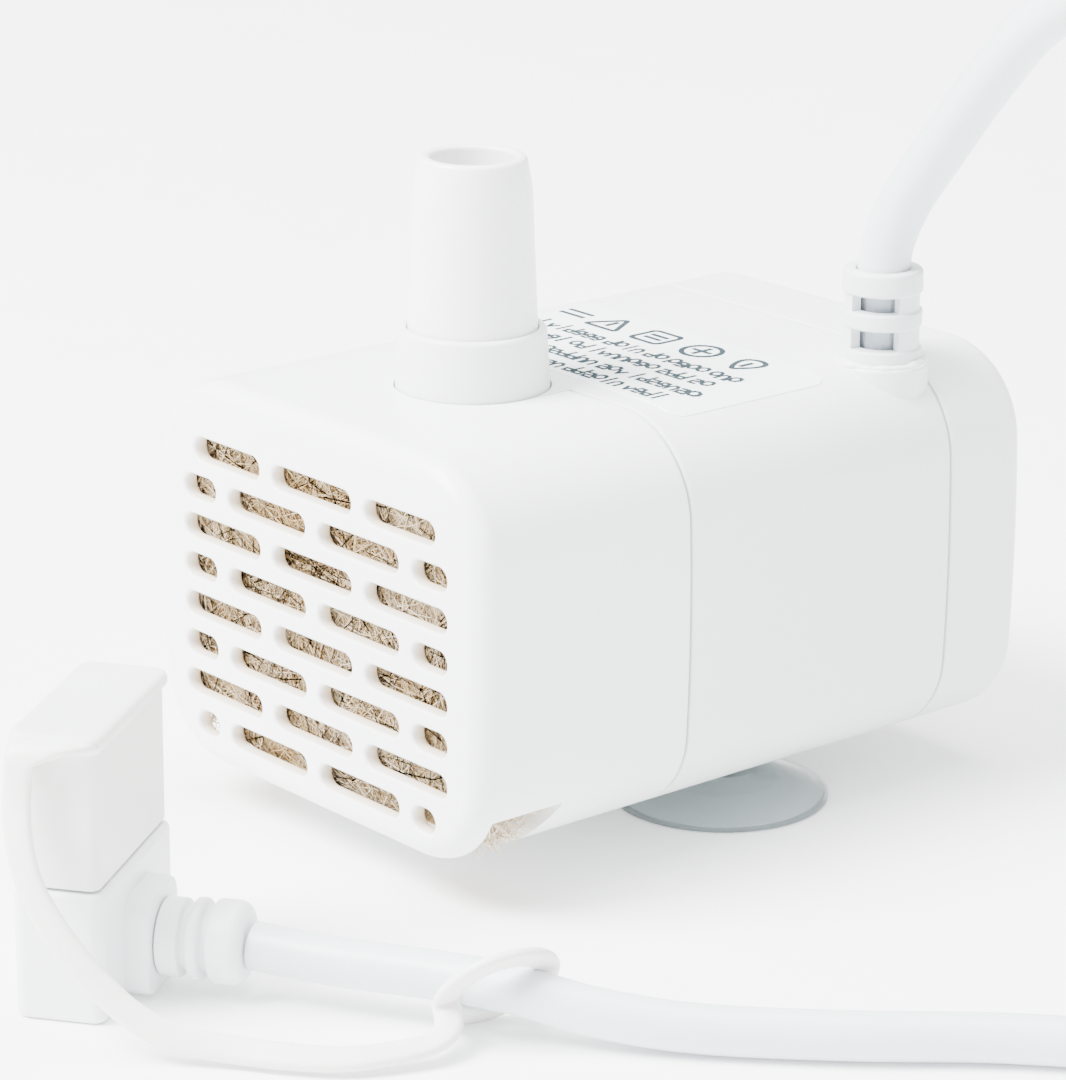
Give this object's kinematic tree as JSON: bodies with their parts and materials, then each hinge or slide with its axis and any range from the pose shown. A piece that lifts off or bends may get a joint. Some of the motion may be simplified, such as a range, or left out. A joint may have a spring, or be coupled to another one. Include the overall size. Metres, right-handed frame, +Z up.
{
  "type": "fountain submersible pump",
  "caption": "Small submersible fountain pump: slotted intake grille, round outlet stub, suction feet, strain relief, coiled white cord and capped right-angle USB plug.",
  "frame": {"origin": "on the floor under the middle of the pump, cord and plug left out", "axes": "+Z up along the outlet, -Y out of the intake grille, +X towards the side with the cord gland"},
  "size_m": [0.1184, 0.117, 0.0688],
  "materials": {
    "case": "fine spark-eroded white ABS",
    "cover": "smoother white ABS",
    "nozzle": "milky white plastic, slightly translucent",
    "filter": "coarse tan fibre with light strands",
    "label": "thin printed film, satin",
    "cup": "clear soft vinyl",
    "steel": "stacked laminations",
    "copper": "enamelled copper wire, wound",
    "bobbin": "natural nylon",
    "magnet": "black ferrite",
    "ceramic": "ground white ceramic",
    "rubber": "black rubber",
    "impeller": "blue moulded plastic",
    "board": "green solder mask",
    "chip": "black moulding compound",
    "can": "drawn aluminium can",
    "red": "red wire insulation",
    "black": "black wire insulation",
    "resin": "poured black resin",
    "gland": "pale grey soft moulding",
    "cord": "matt white PVC jacket",
    "plug": "satin white moulding",
    "usb_steel": "nickel-plated steel",
    "tongue": "white insulator",
    "gold": "gold-plated contact",
    "cap": "soft translucent white"
  },
  "bodies": {
    "pump": {"main_housing": "case", "rear_cover": "case", "label": "label", "suction_cup_left": "cup", "suction_cup_right": "cup", "rear_bush": "rubber", "shaft": "ceramic", "head_seal": "rubber", "stator_core": "steel", "coil_bobbin_left": "bobbin", "coil_winding_left": "copper", "coil_bobbin_right": "bobbin", "coil_winding_right": "copper", "driver_board": "board", "driver_chip": "chip", "smoothing_capacitor": "can", "lead_positive": "red", "lead_negative": "black", "resin_seal": "resin", "strain_relief": "gland", "cord_in_gland": "cord", "cord_pump_end": "cord", "cord_plug_end": "cord", "cord_coil": "cord", "plug_body": "plug", "plug_boot": "plug", "usb_shell": "usb_steel", "usb_tongue": "tongue", "usb_contact_1": "gold", "usb_contact_2": "gold", "usb_contact_3": "gold", "usb_contact_4": "gold", "cap_tether": "cap"},
    "cover": {"front_cover": "cover"},
    "filter": {"filter_pad": "filter"},
    "head": {"pump_head": "case", "front_bush": "rubber"},
    "nozzle": {"outlet_nozzle": "nozzle"},
    "rotor": {"impeller": "impeller", "rotor_magnet": "magnet"},
    "cap": {"plug_cap": "cap"}
  },
  "joints": [
    {"name": "rotor_spin", "type": "hinge", "parent": "pump", "child": "rotor", "pos_m": [0, 0, 0.019], "axis": [0, 1, 0], "continuous": true},
    {"name": "cover_pull", "type": "slide", "parent": "pump", "child": "cover", "axis": [0, -1, 0], "range_m": [0, 0.017]},
    {"name": "filter_pull", "type": "slide", "parent": "cover", "child": "filter", "axis": [0, 1, 0], "range_m": [0, 0.00425]},
    {"name": "head_pull", "type": "slide", "parent": "pump", "child": "head", "axis": [0, -1, 0], "range_m": [0, 0.0085]},
    {"name": "nozzle_pull", "type": "slide", "parent": "head", "child": "nozzle", "axis": [0, 0, 1], "range_m": [0, 0.012]},
    {"name": "cap_pull", "type": "slide", "parent": "pump", "child": "cap", "axis": [0, 0, 1], "range_m": [0, 0.015], "deforming": ["cap_tether"]}
  ],
  "couplings": [
    {"joint": "filter_pull", "follows": "cover_pull", "ratio": 0.25},
    {"joint": "head_pull", "follows": "cover_pull", "ratio": 0.5}
  ]
}
